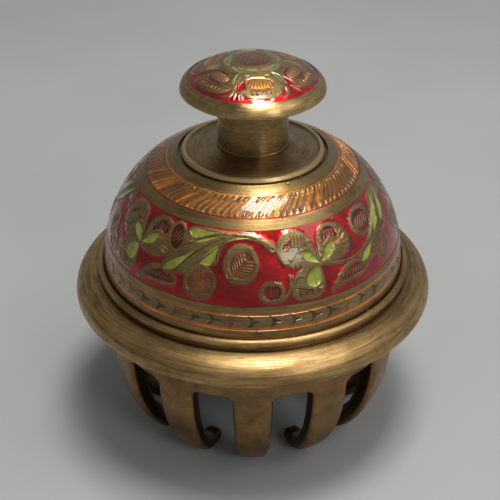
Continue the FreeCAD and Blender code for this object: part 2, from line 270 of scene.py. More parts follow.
def wrap_band(profile, per_degree):
    """Mapping from a flat band to the dome: x goes round it and y goes up it."""
    def wrap(flat, level):
        point, normal = profile.at(flat[:, 1])
        rz = point + normal * (level + FILL_SINK)[:, None]
        turn = np.radians(flat[:, 0] / per_degree)
        return np.stack([rz[:, 0] * np.sin(turn), -rz[:, 0] * np.cos(turn), rz[:, 1]], 1)
    return wrap


def wrap_cap(profile):
    """Mapping from a flat disc, seen from above with y away from the camera, to the cap."""
    order = np.argsort(profile.rz[:, 0])
    radii, lengths = profile.rz[order, 0], profile.s[order]

    def wrap(flat, level):
        r = np.maximum(np.hypot(flat[:, 0], flat[:, 1]), 1e-9)
        point, normal = profile.at(np.interp(r, radii, lengths))
        scale = (r + normal[:, 0] * (level + FILL_SINK)) / r
        z = point[:, 1] + normal[:, 1] * (level + FILL_SINK)
        return np.stack([flat[:, 0] * scale, flat[:, 1] * scale, z], 1)
    return wrap


def triangulate(points, loops):
    """Triangles over the points, with every loop of point numbers kept as edges."""
    edges = [(a, b) for loop in loops for a, b in zip(loop, loop[1:] + loop[:1])]
    out = delaunay_2d_cdt([Vector(p) for p in points], edges, [], 0, 1e-5, False)
    return np.array([tuple(v) for v in out[0]]), np.array([f for f in out[2] if len(f) == 3])


def levels_at(points, drawing, ground):
    level = np.full(len(points), ground)
    for outline, target, slope, _, _ in drawing.shapes:
        share = np.clip(depth_inside(points, outline) / slope, 0, 1)
        level = level * (1 - share) + target * share
    return level


def paints_at(points, drawing, ground_paint):
    names = np.full(len(points), ground_paint, dtype=object)
    for outline, _, slope, paint, rim in drawing.shapes:
        depth = depth_inside(points, outline)
        names[depth > 0] = rim
        names[depth > slope * 0.98] = paint
    return names


def relief(name, drawing, wrap, border, grid, ground, ground_paint, turn_width=None):
    """Closed solid with the drawing as its outer face.

    border is the flat outline of the sheet, with points close enough to follow its curve.
    A band that goes all the way round gives its width, and its two ends are welded.
    """
    shapes = Drawing()
    low_x, high_x = border[:, 0].min(), border[:, 0].max()
    for shape in drawing.shapes:
        for lap in ((-1, 0, 1) if turn_width else (0,)):
            moved = shape[0] + [lap * (turn_width or 0), 0]
            if moved[:, 0].max() > low_x and moved[:, 0].min() < high_x:
                shapes.shapes.append((moved,) + shape[1:])

    points = [tuple(p) for p in border]
    loops = [list(range(len(border)))]
    for outline, _, slope, _, _ in shapes.shapes:
        for line in (outline, inset(outline, slope)):
            loops.append(list(range(len(points), len(points) + len(line))))
            points += [tuple(p) for p in line]
    fill = np.array([(x, y) for j, y in enumerate(np.arange(border[:, 1].min(), border[:, 1].max(), grid))
                     for x in np.arange(low_x + grid * (0.5 if j % 2 else 1.0), high_x, grid)])
    fill = fill[depth_inside(fill, border) > 0.4 * grid]
    clear = np.ones(len(fill), bool)
    for outline, _, slope, _, _ in shapes.shapes:
        reach = depth_inside(fill, inset(outline, -0.3))
        clear &= ~((reach > 0) & (depth_inside(fill, inset(outline, 0.3)) == 0))
    points += [tuple(p) for p in fill[clear]]

    flat, faces = triangulate(points, loops)
    middle = flat[faces].mean(1)
    inside = depth_inside(middle, border) > 0
    if turn_width:
        inside = (middle[:, 0] > low_x) & (middle[:, 0] < high_x)
        inside &= (middle[:, 1] > border[:, 1].min()) & (middle[:, 1] < border[:, 1].max())
    faces = faces[inside]
    paint = paints_at(middle[inside], shapes, ground_paint)
    used = np.unique(faces)
    renumber = np.full(len(flat), -1)
    renumber[used] = np.arange(len(used))
    flat, faces = flat[used], renumber[faces]
    front = wrap(flat, levels_at(flat, shapes, ground))

    back_points, back_faces, walls = back_sheet(flat, faces, grid * 2.5)
    back = wrap(back_points, np.full(len(back_points), BACK))
    vertices = np.vstack([front, back])
    all_faces = [tuple(f) for f in faces]
    all_faces += [tuple(f[::-1] + len(front)) for f in back_faces]
    names = list(paint) + ["groove"] * len(back_faces)
    for a, b, c, d in walls:
        if turn_width and min(flat[a, 0], flat[b, 0]) == max(flat[a, 0], flat[b, 0]):
            continue
        all_faces.append((a, d + len(front), c + len(front), b))
        names.append("groove")
    return mesh_object(name, vertices * MM, all_faces, names)


def back_sheet(flat, faces, grid):
    """Coarse sheet with the front's own border, and the quads that join the two."""
    edges = {}
    for a, b, c in faces:
        for e in ((a, b), (b, c), (c, a)):
            edges[tuple(sorted(e))] = None if tuple(sorted(e)) in edges else e
    rim = [e for e in edges.values() if e]
    numbers = sorted({v for e in rim for v in e})
    local = {v: i for i, v in enumerate(numbers)}
    points = [tuple(flat[v]) for v in numbers]
    lo, hi = flat.min(0), flat.max(0)
    outline_edges = [(local[a], local[b]) for a, b in rim]
    inner = [(x, y) for y in np.arange(lo[1] + grid, hi[1] - grid * 0.4, grid)
             for x in np.arange(lo[0] + grid, hi[0] - grid * 0.4, grid)]
    centre, reach = (lo + hi) / 2, (hi - lo) / 2
    if abs(reach[0] - reach[1]) < 0.1:
        inner = [p for p in inner if np.hypot(*(np.array(p) - centre)) < reach[0] - grid * 0.4]
    out = delaunay_2d_cdt([Vector(p) for p in points + inner], outline_edges, [], 0, 1e-6, True)
    back = np.array([tuple(v) for v in out[0]])
    of_input = {}
    for i, sources in enumerate(out[3]):
        for source in sources:
            of_input[source] = i
    walls = [(a, b, of_input[local[b]], of_input[local[a]]) for a, b in rim]
    return back, np.array([f for f in out[2] if len(f) == 3]), walls


def mesh_object(name, vertices, faces, paint_names):
    mesh = bpy.data.meshes.new(name)
    mesh.from_pydata([tuple(v) for v in vertices], [], faces)
    slots = sorted(set(paint_names))
    for slot in slots:
        mesh.materials.append(PAINT[slot])
    mesh.polygons.foreach_set("material_index", [slots.index(n) for n in paint_names])
    obj = bpy.data.objects.new(name, mesh)
    bpy.context.scene.collection.objects.link(obj)
    weld = obj.modifiers.new("weld", "WELD")
    weld.merge_threshold = WELD_GAP
    bpy.context.view_layer.update()
    welded = bpy.data.meshes.new_from_object(obj.evaluated_get(bpy.context.evaluated_depsgraph_get()))
    obj.modifiers.clear()
    obj.data = welded
    welded.name = name
    welded.shade_smooth()
    welded.set_sharp_from_angle(angle=math.radians(SHARP_ANGLE))
    keep = obj.modifiers.new("weighted_normals", "WEIGHTED_NORMAL")
    keep.keep_sharp = True
    keep.weight = 90
    return obj


# --- Materials --------------------------------------------------------
class Nodes:
    """Short calls that build one material."""

    def __init__(self, name):
        self.material = bpy.data.materials.new(name)
        self.material.use_nodes = True
        self.tree = self.material.node_tree
        self.shader = self.tree.nodes["Principled BSDF"]
        place = self.add("ShaderNodeTexCoord").outputs["Object"]
        parts = self.add("ShaderNodeSeparateXYZ", Vector=place)
        flat = self.add("ShaderNodeCombineXYZ", X=parts.outputs["X"], Y=parts.outputs["Y"])
        self.place = place
        self.height = parts.outputs["Z"]
        length = self.add("ShaderNodeVectorMath", operation="LENGTH", Vector=flat.outputs[0])
        self.radius = length.outputs["Value"]

    def add(self, kind, **values):
        """New node; iN is its input number N, other names are inputs or settings."""
        node = self.tree.nodes.new(kind)
        for key, value in values.items():
            if key in node.inputs.keys():
                self.put(node.inputs[key], value)
            elif key[0] == "i" and key[1:].isdigit():
                self.put(node.inputs[int(key[1:])], value)
            else:
                setattr(node, key, value)
        return node

    def put(self, socket, value):
        if isinstance(value, bpy.types.NodeSocket):
            self.tree.links.new(value, socket)
        elif isinstance(value, tuple) and socket.type == "RGBA" and len(value) == 3:
            socket.default_value = (*value, 1)
        else:
            socket.default_value = value

    def math(self, operation, a, b=0.0, c=0.0):
        return self.add("ShaderNodeMath", operation=operation, i0=a, i1=b, i2=c).outputs[0]

    def noise(self, vector, scale, detail=4.0, rough=0.55, lacunarity=2.0):
        return self.add("ShaderNodeTexNoise", Vector=vector, Scale=scale, Detail=detail,
                        Roughness=rough, Lacunarity=lacunarity).outputs["Fac"]

    def ramp(self, value, low, high, to_low=0.0, to_high=1.0):
        return self.add("ShaderNodeMapRange", Value=value, i1=low, i2=high, i3=to_low,
                        i4=to_high, clamp=True).outputs[0]

    def mix(self, share, a, b):
        node = self.add("ShaderNodeMix", data_type="RGBA")
        self.put(node.inputs[0], share)
        self.put(node.inputs[6], a)
        self.put(node.inputs[7], b)
        return node.outputs[2]

    def streak(self, scale, arcs, detail=5.0, rough=0.6):
        """Noise drawn out into arcs round the axis; arcs is about how many fit in a radian."""
        across = self.add("ShaderNodeSeparateXYZ", Vector=self.place).outputs
        reach = self.math("MAXIMUM", self.radius, 1e-5)
        vector = self.add("ShaderNodeCombineXYZ", X=self.math("MULTIPLY", self.radius, scale),
                          Y=self.math("MULTIPLY", self.math("DIVIDE", across["X"], reach), arcs),
                          Z=self.math("MULTIPLY", self.math("DIVIDE", across["Y"], reach), arcs)).outputs[0]
        return self.add("ShaderNodeTexNoise", noise_dimensions="4D", Vector=vector, Scale=1.0,
                        W=self.math("MULTIPLY", self.height, scale), Detail=detail,
                        Roughness=rough).outputs["Fac"]

    def nicks(self, scale, size, share):
        """Small round marks: one in some of the cells of a grid of 1/scale metres."""
        cell = self.add("ShaderNodeTexVoronoi", Vector=self.place, Scale=scale)
        lot = self.add("ShaderNodeSeparateColor", Color=cell.outputs["Color"]).outputs[0]
        picked = self.math("LESS_THAN", lot, share)
        near = self.ramp(cell.outputs["Distance"], size, size * 0.3)
        return self.math("MULTIPLY", near, picked)

    def outward(self):
        """Cosine between the surface's normal and the direction away from the axis."""
        normal = self.add("ShaderNodeTexCoord").outputs["Normal"]
        flat = self.add("ShaderNodeVectorMath", operation="MULTIPLY", i0=self.place, i1=(1.0, 1.0, 0.0))
        away = self.add("ShaderNodeVectorMath", operation="NORMALIZE", i0=flat.outputs[0]).outputs[0]
        cosine = self.add("ShaderNodeVectorMath", operation="DOT_PRODUCT", i0=normal, i1=away)
        return cosine.outputs["Value"]

    def bump(self, height, strength, distance, onto=None):
        node = self.add("ShaderNodeBump", Height=height, Strength=strength, Distance=distance)
        if onto is not None:
            self.put(node.inputs["Normal"], onto)
        return node.outputs[0]

    def finish(self, **values):
        for key, value in values.items():
            self.put(self.shader.inputs[key.replace("_", " ")], value)
        return self.material


def brass(name, bright, dull, dark, rough=(0.28, 0.48), lines=0.25, coat=0.0, spin=0.5,
          occlusion_shade=0.6, specks=0.5, streaks=0.35, edge=None, cast=None, shade=None, marks=0.0):
    """Aged brass: lathe lines, brown patina in patches, painted shade in hollows, dark specks and bright
    nicks.

    edge is the radius outside which the patina is polished off.  cast is the pair of heights
    between which the turned finish gives way, downwards, to dark rough casting, whose inward faces
    get painted shade, and shade a like pair below which the turned finish is darkened as painted
    shade.
    """
    n = Nodes(name)
    if cast:
        below = n.ramp(n.height, cast[1], cast[0])
        streaks = n.math("MULTIPLY_ADD", below, -0.8 * streaks, streaks)
        lines = n.math("MULTIPLY_ADD", below, -0.6 * lines, lines)
    fine = n.streak(3400.0, 5.0)
    broad = n.streak(1000.0, 2.0, detail=3.0)
    cloud = n.noise(n.place, 70.0, detail=6.0, rough=0.6)
    patch = n.noise(n.place, 240.0, detail=5.0, rough=0.65)
    speck = n.noise(n.place, 1500.0, detail=2.0)
    nick = n.nicks(150.0, 0.075, 0.30)
    # Ambient occlusion, used below to paint shade into hollows and grooves
    occlusion_mask = n.add("ShaderNodeAmbientOcclusion", samples=8, Distance=0.0025).outputs["AO"]

    colour = n.mix(n.ramp(cloud, 0.38, 0.66), bright, dull)
    colour = n.mix(n.math("MULTIPLY", n.ramp(patch, 0.50, 0.74), 0.55), colour, dark)
    colour = n.mix(n.math("MULTIPLY", n.ramp(broad, 0.45, 0.62), streaks), colour, dark)
    colour = n.mix(n.math("MULTIPLY", n.ramp(fine, 0.50, 0.66), streaks), colour, dark)
    colour = n.mix(n.math("MULTIPLY", n.ramp(fine, 0.46, 0.34), streaks), colour, KHAKI["pale"])
    if edge:
        colour = n.mix(n.ramp(n.radius, edge - 0.00015, edge), colour, KHAKI["pale"])
    height_map = patch
    if shade:
        # Painted shade: darker below the given heights, as under the cap's overhang
        colour = n.mix(n.math("MULTIPLY", n.ramp(n.height, shade[1], shade[0]), 0.36), colour, dark)
    if cast:
        blotch = n.noise(n.place, 170.0, detail=7.0, rough=0.7)
        rough_skin = n.mix(n.ramp(blotch, 0.40, 0.62), CAST["warm"], CAST["dark"])
        colour = n.mix(n.math("MULTIPLY", below, 0.72), colour, rough_skin)
        # Painted shade: faces of the lower part that turn towards the axis go near-black
        inner = n.math("MULTIPLY", below, n.ramp(n.outward(), 0.45, -0.05))
        colour = n.mix(n.math("MULTIPLY", inner, 0.7), colour, CAST["painted_inner_shade"])
        height_map = n.math("ADD", patch, n.math("MULTIPLY", below, blotch))
    colour = n.mix(n.math("MULTIPLY", n.ramp(speck, 0.66, 0.72), specks), colour, dark)
    # Painted shade: darker where ambient occlusion finds hollows and grooves
    colour = n.mix(n.math("MULTIPLY", n.ramp(occlusion_mask, 0.92, 0.45), occlusion_shade), colour, dark)
    colour = n.mix(n.math("MULTIPLY", nick, marks), colour, KHAKI["pale"])
    wear = n.math("ADD", n.math("MULTIPLY", fine, 0.5), n.math("MULTIPLY", patch, 0.5))
    normal = n.bump(fine, lines, 0.00006)
    normal = n.bump(broad, lines, 0.00014, onto=normal)
    normal = n.bump(height_map, 0.16, 0.0003, onto=normal)
    if marks:
        normal = n.bump(n.math("MULTIPLY", nick, -1.0), 0.8, 0.0002, onto=normal)
    tangent = n.add("ShaderNodeTangent", direction_type="RADIAL", axis="Z").outputs[0]
    return n.finish(Base_Color=colour, Metallic=1.0, Roughness=n.ramp(wear, 0.3, 0.7, *rough),
                    Normal=normal, Anisotropic=spin, Anisotropic_Rotation=0.25, Tangent=tangent,
                    Coat_Weight=coat, Coat_Roughness=0.12)


def enamel(name, deep, bright, metallic=1.0, rough=0.32, coat=1.0):
    """Translucent lacquer over brass: cloudy colour, fine scratches and a hard gloss on top."""
    n = Nodes(name)
    cloud = n.noise(n.place, 260.0, detail=4.0)
    grain = n.noise(n.place, 2600.0, detail=3.0)
    colour = n.mix(n.ramp(cloud, 0.35, 0.68), deep, bright)
    colour = n.mix(n.math("MULTIPLY", n.ramp(grain, 0.6, 0.75), 0.4), colour, deep)
    scratch = n.noise(n.place, 900.0, detail=6.0, rough=0.75)
    normal = n.bump(scratch, 0.15, 0.00012)
    wave = n.noise(n.place, 420.0, detail=2.0)
    gloss = n.bump(wave, 0.25, 0.0002)
    return n.finish(Base_Color=colour, Metallic=metallic, Normal=normal,
                    Roughness=n.ramp(cloud, 0.3, 0.7, rough, rough + 0.12),
                    Coat_Weight=coat, Coat_Roughness=n.ramp(scratch, 0.45, 0.7, 0.04, 0.22),
                    Coat_Normal=gloss)


def steel(name, light, dark, rough):
    n = Nodes(name)
    cloud = n.noise(n.place, 400.0, detail=5.0)
    fine = n.noise(n.place, 3000.0, detail=3.0)
    colour = n.mix(n.ramp(cloud, 0.4, 0.65), light, dark)
    return n.finish(Base_Color=colour, Metallic=1.0, Roughness=n.ramp(cloud, 0.3, 0.7, rough, rough + 0.2),
                    Normal=n.bump(fine, 0.2, 0.00005))


def iron(name):
    n = Nodes(name)
    cloud = n.noise(n.place, 300.0, detail=6.0)
    grit = n.noise(n.place, 1600.0, detail=4.0)
    colour = n.mix(n.ramp(cloud, 0.4, 0.7), (0.035, 0.030, 0.027), (0.10, 0.055, 0.03))
    return n.finish(Base_Color=colour, Metallic=0.8, Roughness=n.ramp(grit, 0.3, 0.7, 0.5, 0.75),
                    Normal=n.bump(grit, 0.6, 0.0004))


def cloth(name):
    """Plain pale floor."""
    n = Nodes(name)
    cloud = n.noise(n.place, 6.0, detail=3.0)
    colour = n.mix(n.ramp(cloud, 0.3, 0.7), (0.33, 0.33, 0.32), (0.38, 0.38, 0.37))
    return n.finish(Base_Color=colour, Roughness=0.9)


KHAKI = dict(bright=(0.37, 0.24, 0.085), dull=(0.25, 0.155, 0.055), dark=(0.08, 0.042, 0.016),
             pale=(0.58, 0.42, 0.19))
ENGRAVED = dict(bright=(0.26, 0.172, 0.060), dull=(0.165, 0.104, 0.036), dark=(0.06, 0.031, 0.011))
GILT = dict(bright=(0.32, 0.17, 0.034), dull=(0.22, 0.105, 0.020), dark=(0.10, 0.036, 0.008))
WORN = dict(bright=(0.29, 0.195, 0.07), dull=(0.20, 0.12, 0.042), dark=(0.06, 0.03, 0.012))
# The last tone is near-black painted shade for the faces of the claws that turn inwards
CAST = dict(warm=(0.24, 0.12, 0.045), dark=(0.080, 0.046, 0.022), painted_inner_shade=(0.022, 0.016, 0.012))


def band_brass(name, tones):
    tones = {key: tones[key] for key in ("bright", "dull", "dark")}
    return brass(name, coat=0.7, lines=0.14, spin=0.2, occlusion_shade=0.5, rough=(0.44, 0.62), streaks=0.25,
                 marks=0.3, **tones)


PAINT = {
    "brass": band_brass("band_brass", ENGRAVED),
    "gilt": band_brass("gilt_band_brass", GILT),
    "worn": band_brass("worn_band_brass", WORN),
    "groove": brass("groove_patina", (0.14, 0.065, 0.018), (0.09, 0.04, 0.012), (0.03, 0.016, 0.008),
                    rough=(0.4, 0.6), coat=0.5, spin=0.0),
    "red": enamel("red_enamel", (0.26, 0.002, 0.002), (0.46, 0.004, 0.003)),
    "dark_red": enamel("dark_red_enamel", (0.13, 0.006, 0.004), (0.26, 0.012, 0.006)),
    "green": enamel("green_enamel", (0.20, 0.215, 0.022), (0.36, 0.38, 0.040), metallic=0.5),
    "olive": enamel("olive_enamel", (0.12, 0.125, 0.028), (0.25, 0.25, 0.060), metallic=0.5),
    "amber": enamel("amber_lacquer", (0.34, 0.085, 0.002), (0.72, 0.22, 0.003), metallic=0.65, coat=0.7),
    "umber": enamel("umber_lacquer", (0.10, 0.022, 0.003), (0.24, 0.060, 0.004), metallic=0.5, coat=0.7),
}


# --- Scroll band ------------------------------------------------------
PER_DEGREE = 0.58          # flat millimetres for a degree round the dome, at mid height


def at(azimuth, height):
    return (azimuth * PER_DEGREE, height)


def path(*pairs):
    return [at(a, h) for a, h in pairs]


def blob(*pairs):
    """Closed smooth outline through points given as degrees round the dome and height."""
    return smooth(path(*pairs))


def veined_heart(d, centre, rx, ry, turn, paint="umber", barbs=5):
    """Oval of dark lacquer with a brass midrib and curved brass barbs on both sides."""
    d.pocket(oval(centre, rx, ry, turn), paint)
    c, s = math.cos(math.radians(turn)), math.sin(math.radians(turn))

    def local(x, y):
        return (centre[0] + x * c - y * s, centre[1] + x * s + y * c)
    for side in (1, -1):
        for k in range(barbs):
            x = rx * (-0.62 + 1.25 * k / (barbs - 1))
            room = ry * math.sqrt(max(0.05, 1 - (x / rx) ** 2))
            root, mid = (x - 0.25 * rx, side * 0.12 * ry), (x, side * 0.5 * room)
            end = (x + 0.16 * rx, side * 0.86 * room)
            d.bar([local(*root), local(*mid), local(*end)], [0.14, 0.27, 0.10])


def barred_oval(d, centre, rx, ry, turn, bars, lean=35):
    """Dark red oval crossed by slanted brass bars."""
    d.pocket(oval(centre, rx, ry, turn), "dark_red")
    a = math.radians(lean)
    for k in range(bars):
        x = rx * (-0.7 + 1.4 * k / (bars - 1))
        half = 0.72 * ry * math.sqrt(max(0.1, 1 - (x / rx) ** 2))
        dx, dy = half * math.sin(a), half * math.cos(a)
        d.bar([(centre[0] + x - dx, centre[1] - dy), (centre[0] + x + 0.15, centre[1]),
               (centre[0] + x + dx, centre[1] + dy)], [0.10, 0.30, 0.12])


def low_flower(d, azimuth, height, rx=3.9, ry=4.15):
    """Round flower whose heart is a leaf print, with a curved stroke beside it."""
    d.plate(oval(at(azimuth, height), rx, ry, 8))
    veined_heart(d, at(azimuth + 0.2, height + 0.2), 0.74 * rx, 0.65 * ry, 48, barbs=6)
    d.cut(ribbon(path((azimuth - 5.0, height + 1.9), (azimuth - 5.5, height - 0.3),
                      (azimuth - 3.8, height - 2.5)), [0.08, 0.22, 0.08]), "amber")


def high_flower(d, azimuth, height, rx=4.25, ry=4.8):
    """The larger flower beside it."""
    d.plate(oval(at(azimuth, height), rx, ry, -8))
    veined_heart(d, at(azimuth + 0.6, height - 0.3), 0.73 * rx, 0.58 * ry, 52, barbs=6)
    d.cut(ribbon(path((azimuth - 4.9, height + 3.2), (azimuth - 6.3, height), (azimuth - 4.5, height - 3.2)),
                 [0.08, 0.26, 0.08]), "amber")


def spray_wide(d):
    """Arch, wide fan of five leaves, a barred bud and two round flowers."""
    d.plate(blob((9.6, 12.8), (8.6, 14.4), (4.5, 15.9), (-1, 16.75), (-8, 17.0), (-15, 17.15),
                 (-23, 17.1), (-29.5, 16.4), (-31.5, 14.8), (-33.6, 12.4), (-36.4, 8.2),
                 (-37.2, 5.6), (-34.5, 4.5), (-31, 5.4), (-27.5, 5.6), (-23, 8.6), (-18, 8.6),
                 (-14.4, 9.2), (-13.6, 12.2), (-10.6, 14.6), (-6, 15.3), (-1, 15.2), (3.5, 14.3),
                 (7.4, 12.2)))
    d.plate(oval(at(-34.2, 13.4), 2.6, 3.8, 12))
    barred_oval(d, at(-34.2, 13.4), 1.8, 2.9, 12, 4)
    d.pocket(leaf(at(-14.5, 16.7), at(-29.2, 15.3), 2.1, 0.74, 0.15), "green")
    d.pocket(leaf(at(-13.5, 16.1), at(-28.0, 13.2), 0.62, 0.6, 0.25), "green")
    d.pocket(leaf(at(-22.8, 12.6), at(-36.2, 5.4), 1.9, 0.74, 0.3), "green")
    d.pocket(leaf(at(-13.4, 14.4), at(-27.9, 5.9), 0.55, 0.6, 0.8), "green")
    d.pocket(blob((-14.6, 13.6), (-17.8, 12.2), (-20.6, 9.4), (-19.0, 8.7), (-16.9, 8.9),
                  (-15.4, 10.6)),
             "green")
    grooves = [((-12, 16.3), (-20, 15.1), (-27.5, 12.8), (-30.5, 11.6)),
               ((-12.6, 15.5), (-20, 13.0), (-27.5, 8.9), (-31.5, 5.6)),
               ((-11.6, 15.0), (-18, 11.4), (-25.6, 6.6)), ((-11.0, 14.8), (-14.4, 12.2), (-14.8, 9.8)),
               ((-9.5, 16.1), (-2, 16.0), (5.0, 14.4), (8.6, 12.8))]
    for line in grooves:
        d.cut(ribbon(path(*line), [0.10, 0.26, 0.14]))
    d.pocket(leaf(at(-1.5, 15.7), at(-11.8, 14.5), 0.55, 0.5, -0.5), "green")
    low_flower(d, -20.4, 4.7)
    high_flower(d, -4.9, 9.8)


def spray_narrow(d):
    """Arch that carries on a long stem, steep leaves that hang from it and two round flowers."""
    d.plate(blob((9.6, 12.8), (8.6, 14.4), (6.0, 16.2), (2.0, 17.1), (-4, 17.2), (-9, 16.8),
                 (-13, 15.0), (-18, 12.2), (-24, 9.2), (-30, 7.2), (-33.0, 6.0), (-32.0, 4.0),
                 (-27, 3.8), (-22, 5.6), (-18, 7.2), (-14, 8.0), (-9.0, 8.2), (-4.5, 11.2),
                 (0.5, 14.2), (4.5, 14.0), (7.4, 12.0)))
    low_flower(d, -17.0, 4.8, 3.2, 3.5)
    d.pocket(leaf(at(-23.2, 7.6), at(-31.6, 4.7), 1.7, 0.62, 0.1), "green")
    d.pocket(leaf(at(-6.2, 16.3), at(-19.2, 9.0), 2.1, 0.60, 0.2), "green")
    d.pocket(leaf(at(1.8, 16.4), at(-10.6, 9.2), 1.7, 0.62, 0.1), "green")
    d.pocket(leaf(at(-11.0, 15.0), at(-24.5, 8.4), 0.6, 0.6, 0.2), "green")
    for line in (((-2.2, 16.6), (-9, 13.0), (-15.6, 8.6)), ((3.6, 16.0), (-1.0, 13.0), (-6.2, 9.6)),
                 ((-9.5, 16.4), (-17, 12.4), (-24, 9.0))):
        d.cut(ribbon(path(*line), [0.10, 0.28, 0.14]))
    high_flower(d, 3.0, 6.4, 3.6, 3.9)


def small_bud(d):
    d.plate(ribbon(path((14.2, 6.6), (13.6, 3.6), (10.6, 1.3), (8, 1.0)), [0.7, 0.8, 0.6]))
    d.plate(oval(at(6.9, 3.3), 2.95, 2.75))
    d.pocket(blob((3.8, 3.6), (5.2, 4.9), (7.2, 4.7), (9.0, 4.9), (10.2, 3.4), (9.2, 1.9),
                  (7.4, 1.7), (5.4, 1.6)), "dark_red")
    for k in range(3):
        d.bar(path((6.1 + 1.2 * k, 2.4), (6.5 + 1.2 * k, 3.8)), [0.28, 0.2])


def three_petals(d):
    """Flower of three broad petals that meet at one point, each with a green leaf in it."""
    upper = blob((26.6, 8.2), (20, 8.0), (14, 8.5), (10.2, 10.6), (9.3, 13.2), (11.2, 15.4),
                 (15, 17.0), (19.5, 17.0), (23.2, 15.8), (25.6, 12.8), (26.8, 9.8))
    right = blob((27.0, 8.4), (27.0, 11.2), (28.0, 14.2), (31, 16.3), (36, 16.7), (40.8, 15.6),
                 (43.6, 12.6), (43.2, 9.8), (40.0, 8.2), (35, 7.6), (30, 7.8))
    lower = blob((26.4, 8.2), (27.6, 5.6), (27.4, 2.6), (25.2, 0.8), (20, 0.5), (15.8, 0.9),
                 (14.2, 2.6), (14.6, 5.2), (17.0, 7.4), (21, 8.4))
    for petal in (right, upper, lower):
        d.plate(petal)
    d.pocket(leaf(at(26.6, 8.4), at(19.4, 11.6), 1.9, 0.55, -0.2), "green")
    d.pocket(leaf(at(27.4, 8.6), at(35.0, 12.2), 2.2, 0.6, -0.3), "green")
    d.pocket(blob((26.2, 7.6), (23.0, 7.2), (20.4, 5.4), (20.8, 3.9), (23.4, 3.3), (25.8, 4.0),
                  (26.6, 5.8)), "green")
    d.pocket(leaf(at(17.6, 15.2), at(12.2, 12.6), 0.9, 0.6, 0.1), "dark_red")
    for k in range(5):
        d.cut(ribbon(path((15.6 + 1.5 * k, 12.9 - 0.1 * k), (16.4 + 1.5 * k, 14.4),
                          (16.2 + 1.6 * k, 15.9 - 0.2 * k)), [0.12, 0.42, 0.2], per=3), "umber")
    d.cut(ribbon(path((14.6, 9.4), (17.2, 11.0), (19.6, 12.6)), [0.1, 0.3, 0.1]))
    d.cut(ribbon(path((14.6, 13.4), (18, 12.8), (22, 12.9), (25, 10.6)), [0.1, 0.2, 0.1]))
    arch = blob((30.0, 12.2), (31.2, 14.6), (34.4, 15.7), (37.8, 14.9), (38.6, 12.8), (36.8, 12.9),
                (34.6, 13.6), (32.2, 12.9))
    d.pocket(arch, "dark_red")
    for k in range(4):
        d.bar(path((31.8 + 1.6 * k, 13.3 + 0.2 * math.sin(k)), (32.2 + 1.5 * k, 15.0 - 0.1 * k)), [0.3, 0.2])
    d.pocket(leaf(at(34.0, 11.6), at(38.4, 12.0), 0.8, 0.6, 0.1), "amber")
    for k in range(5):
        a = math.radians(-50 + 24 * k)
        foot = (36.2 + 2.9 * math.cos(a), 11.3 + 2.3 * math.sin(a))
        head = (37.2 + 5.2 * math.cos(a), 11.6 + 3.6 * math.sin(a))
        d.cut(ribbon(path(foot, head), [0.26, 0.14]), "amber")
    for k in range(4):
        x = 17.4 + 2.3 * k
        d.cut(ribbon(path((x, 1.5), (x + 0.2, 3.0 + 0.2 * (k % 2))), [0.5, 0.24]), "umber")
    d.cut(ribbon(path((15.8, 3.6), (18, 3.4), (22, 2.6), (26.2, 3.2)), [0.14, 0.3, 0.14]), "dark_red")
    d.cut(ribbon(path((15.6, 4.4), (17.6, 6.2), (19.2, 5.6)), [0.14, 0.26, 0.12]))


def pointed_leaf(d):
    """Leaf below the stem, its dark red heart crossed by brass bars."""
    d.plate(blob((29.5, 1.0), (32.4, 3.4), (36.6, 5.6), (42, 6.2), (47.4, 5.0), (48.6, 3.0),
                 (44, 2.0), (38, 1.9), (33, 1.4)))
    heart = blob((34.0, 2.6), (38.0, 4.6), (43, 5.3), (46.8, 4.2), (46.6, 3.0), (42, 2.7), (37, 2.5))
    d.pocket(heart, "dark_red")
    for k in range(8):
        x = 35.6 + 1.45 * k
        d.bar(path((x, 2.9 + 0.02 * k), (x + 0.5, 3.7), (x + 1.5, 4.4)), [0.10, 0.24, 0.10])


def link_short(d):
    """Stem from the petals to a wide spray, with the leaf below it."""
    d.plate(ribbon(path((27, 8.0), (32, 7.4), (37, 7.6), (42, 8.8)), [1.0, 0.9, 0.8, 0.8]))
    pointed_leaf(d)


def link_long(d):
    """Stem that runs on over a narrow spray, the leaf below it and a barred bud above it."""
    d.plate(ribbon(path((27, 8.0), (33, 7.2), (40, 6.7), (47, 7.0), (54, 8.8), (61, 11.8), (66, 13.8),
                        (71, 15.2)), [1.0, 0.9, 0.75, 0.7, 0.8, 0.9]))
    pointed_leaf(d)
    d.plate(blob((46.6, 12.6), (49.5, 10.4), (54.5, 9.8), (60.0, 11.2), (62.6, 14.0), (60.4, 16.4),
                 (54.5, 17.0), (49.0, 15.6)))
    barred_oval(d, at(54.6, 13.3), 3.3, 2.6, 6, 6)


UNIT_SPAN = 78.0           # degrees from one front unit to the next
BACK_SPAN = (FULL_TURN - 2 * UNIT_SPAN) / 3


